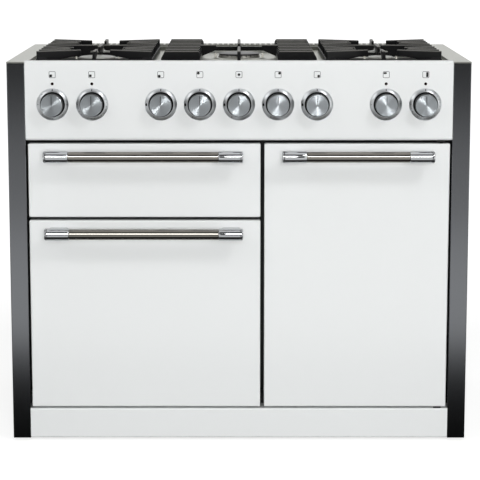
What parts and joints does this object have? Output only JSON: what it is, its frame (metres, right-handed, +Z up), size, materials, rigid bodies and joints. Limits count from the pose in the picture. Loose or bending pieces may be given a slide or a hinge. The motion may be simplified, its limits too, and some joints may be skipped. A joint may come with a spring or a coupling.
{
  "type": "range cooker",
  "caption": "Free-standing range cooker with a gas hob, pull-out grill, drop-down oven, tall side-hinged oven, bar handles and turned knobs.",
  "frame": {"origin": "on the floor below the middle of the whole, handles included", "axes": "+X to the right of someone facing the cooker, -Y out of its front, +Z up"},
  "size_m": [1.082, 0.662, 0.9301],
  "materials": {
    "white_enamel": "gloss",
    "anthracite": "gloss",
    "stainless": "brushed",
    "handle_bar": "satin",
    "chrome": "polished",
    "knob_steel": "spun",
    "cast_iron": "matte enamel",
    "burner_alloy": "satin",
    "burner_cap": "satin enamel",
    "black_frame": "satin",
    "oven_enamel": "speckled gloss",
    "galvanised": "galvanised",
    "wire": "polished",
    "brass": "cast",
    "seal": "matte",
    "lens": "gloss",
    "switch": "moulded",
    "electrode": "glazed",
    "foot": "moulded"
  },
  "bodies": {
    "cabinet": {"base_frame": "galvanised", "levelling_feet": "foot", "side_panels": "anthracite", "plinth": "white_enamel", "front_frame": "black_frame", "rear_panel": "galvanised", "control_fascia": "white_enamel", "hob_tray": "stainless", "rear_vent_trim": "stainless", "burner_crowns": "burner_alloy", "burner_caps": "burner_cap", "burner_electrodes": "electrode", "burner_feeds": "burner_alloy", "gas_rail": "brass", "rotary_switches": "switch", "knob_bezels": "chrome", "indicator_lenses": "lens", "left_oven_liner": "oven_enamel", "right_oven_liner": "oven_enamel", "grill_compartment": "oven_enamel", "oven_shelf_ladders": "wire", "oven_shelves": "wire", "fan_baffles": "oven_enamel", "oven_seals": "seal", "door_hinge_brackets": "galvanised", "grill_fixed_runners": "galvanised", "grill_element": "galvanised"},
    "grill_drawer": {"grill_front_panel": "white_enamel", "grill_sliding_runners": "galvanised", "grill_pan": "oven_enamel", "grill_trivet": "wire", "grill_handle_bar": "handle_bar", "grill_handle_brackets": "chrome"},
    "left_door": {"left_door_panel": "white_enamel", "left_door_inner": "oven_enamel", "left_door_handle_bar": "handle_bar", "left_door_handle_brackets": "chrome"},
    "right_door": {"right_door_panel": "white_enamel", "right_door_inner": "oven_enamel", "right_door_handle_bar": "handle_bar", "right_door_handle_brackets": "chrome"},
    "left_oven_fan": {"left_oven_fan": "stainless"},
    "right_oven_fan": {"right_oven_fan": "stainless"},
    "pan_support_left": {"pan_support_left": "cast_iron"},
    "pan_support_centre": {"pan_support_centre": "cast_iron"},
    "pan_support_right": {"pan_support_right": "cast_iron"},
    "left_oven_mode_knob": {"left_oven_mode_knob": "knob_steel"},
    "left_oven_heat_knob": {"left_oven_heat_knob": "knob_steel"},
    "grill_heat_knob": {"grill_heat_knob": "knob_steel"},
    "right_oven_heat_knob": {"right_oven_heat_knob": "knob_steel"},
    "front_left_push_stem": {"front_left_push_stem": "galvanised"},
    "front_left_burner_knob": {"front_left_burner_knob": "knob_steel"},
    "rear_left_push_stem": {"rear_left_push_stem": "galvanised"},
    "rear_left_burner_knob": {"rear_left_burner_knob": "knob_steel"},
    "centre_push_stem": {"centre_push_stem": "galvanised"},
    "centre_burner_knob": {"centre_burner_knob": "knob_steel"},
    "rear_right_push_stem": {"rear_right_push_stem": "galvanised"},
    "rear_right_burner_knob": {"rear_right_burner_knob": "knob_steel"},
    "front_right_push_stem": {"front_right_push_stem": "galvanised"},
    "front_right_burner_knob": {"front_right_burner_knob": "knob_steel"}
  },
  "joints": [
    {"name": "grill_drawer_slide", "type": "slide", "parent": "cabinet", "child": "grill_drawer", "axis": [0, -1, 0], "range_m": [0, 0.3]},
    {"name": "left_door_drop", "type": "hinge", "parent": "cabinet", "child": "left_door", "pos_m": [-0.2219, -0.257, 0.1028], "axis": [1, 0, 0], "range_deg": [0, 90]},
    {"name": "right_door_swing", "type": "hinge", "parent": "cabinet", "child": "right_door", "pos_m": [0.4744, -0.257, 0.4], "axis": [0, 0, 1], "range_deg": [0, 90]},
    {"name": "left_oven_fan_spin", "type": "hinge", "parent": "cabinet", "child": "left_oven_fan", "pos_m": [-0.2219, 0.2018, 0.3073], "axis": [0, 1, 0], "continuous": true},
    {"name": "right_oven_fan_spin", "type": "hinge", "parent": "cabinet", "child": "right_oven_fan", "pos_m": [0.2769, 0.2018, 0.3998], "axis": [0, 1, 0], "continuous": true},
    {"name": "pan_support_left_lift", "type": "slide", "parent": "cabinet", "child": "pan_support_left", "axis": [0, 0, 1], "range_m": [0, 0.08]},
    {"name": "pan_support_centre_lift", "type": "slide", "parent": "cabinet", "child": "pan_support_centre", "axis": [0, 0, 1], "range_m": [0, 0.08]},
    {"name": "pan_support_right_lift", "type": "slide", "parent": "cabinet", "child": "pan_support_right", "axis": [0, 0, 1], "range_m": [0, 0.08]},
    {"name": "left_oven_mode_turn", "type": "hinge", "parent": "cabinet", "child": "left_oven_mode_knob", "pos_m": [-0.4345, -0.269, 0.8091], "axis": [0, 1, 0], "range_deg": [0, 315]},
    {"name": "left_oven_heat_turn", "type": "hinge", "parent": "cabinet", "child": "left_oven_heat_knob", "pos_m": [-0.3425, -0.269, 0.8091], "axis": [0, 1, 0], "range_deg": [0, 270]},
    {"name": "grill_heat_turn", "type": "hinge", "parent": "cabinet", "child": "grill_heat_knob", "pos_m": [0.3425, -0.269, 0.8091], "axis": [0, 1, 0], "range_deg": [0, 250]},
    {"name": "right_oven_heat_turn", "type": "hinge", "parent": "cabinet", "child": "right_oven_heat_knob", "pos_m": [0.4345, -0.269, 0.8091], "axis": [0, 1, 0], "range_deg": [0, 270]},
    {"name": "front_left_burner_push", "type": "slide", "parent": "cabinet", "child": "front_left_push_stem", "axis": [0, 1, 0], "range_m": [0, 0.004], "stiffness_N_per_m": 800, "springref_m": -0.004},
    {"name": "front_left_burner_turn", "type": "hinge", "parent": "front_left_push_stem", "child": "front_left_burner_knob", "pos_m": [-0.182, -0.269, 0.8091], "axis": [0, -1, 0], "range_deg": [0, 210]},
    {"name": "rear_left_burner_push", "type": "slide", "parent": "cabinet", "child": "rear_left_push_stem", "axis": [0, 1, 0], "range_m": [0, 0.004], "stiffness_N_per_m": 800, "springref_m": -0.004},
    {"name": "rear_left_burner_turn", "type": "hinge", "parent": "rear_left_push_stem", "child": "rear_left_burner_knob", "pos_m": [-0.091, -0.269, 0.8091], "axis": [0, -1, 0], "range_deg": [0, 210]},
    {"name": "centre_burner_push", "type": "slide", "parent": "cabinet", "child": "centre_push_stem", "axis": [0, 1, 0], "range_m": [0, 0.004], "stiffness_N_per_m": 800, "springref_m": -0.004},
    {"name": "centre_burner_turn", "type": "hinge", "parent": "centre_push_stem", "child": "centre_burner_knob", "pos_m": [0, -0.269, 0.8091], "axis": [0, -1, 0], "range_deg": [0, 210]},
    {"name": "rear_right_burner_push", "type": "slide", "parent": "cabinet", "child": "rear_right_push_stem", "axis": [0, 1, 0], "range_m": [0, 0.004], "stiffness_N_per_m": 800, "springref_m": -0.004},
    {"name": "rear_right_burner_turn", "type": "hinge", "parent": "rear_right_push_stem", "child": "rear_right_burner_knob", "pos_m": [0.091, -0.269, 0.8091], "axis": [0, -1, 0], "range_deg": [0, 210]},
    {"name": "front_right_burner_push", "type": "slide", "parent": "cabinet", "child": "front_right_push_stem", "axis": [0, 1, 0], "range_m": [0, 0.004], "stiffness_N_per_m": 800, "springref_m": -0.004},
    {"name": "front_right_burner_turn", "type": "hinge", "parent": "front_right_push_stem", "child": "front_right_burner_knob", "pos_m": [0.182, -0.269, 0.8091], "axis": [0, -1, 0], "range_deg": [0, 210]}
  ]
}
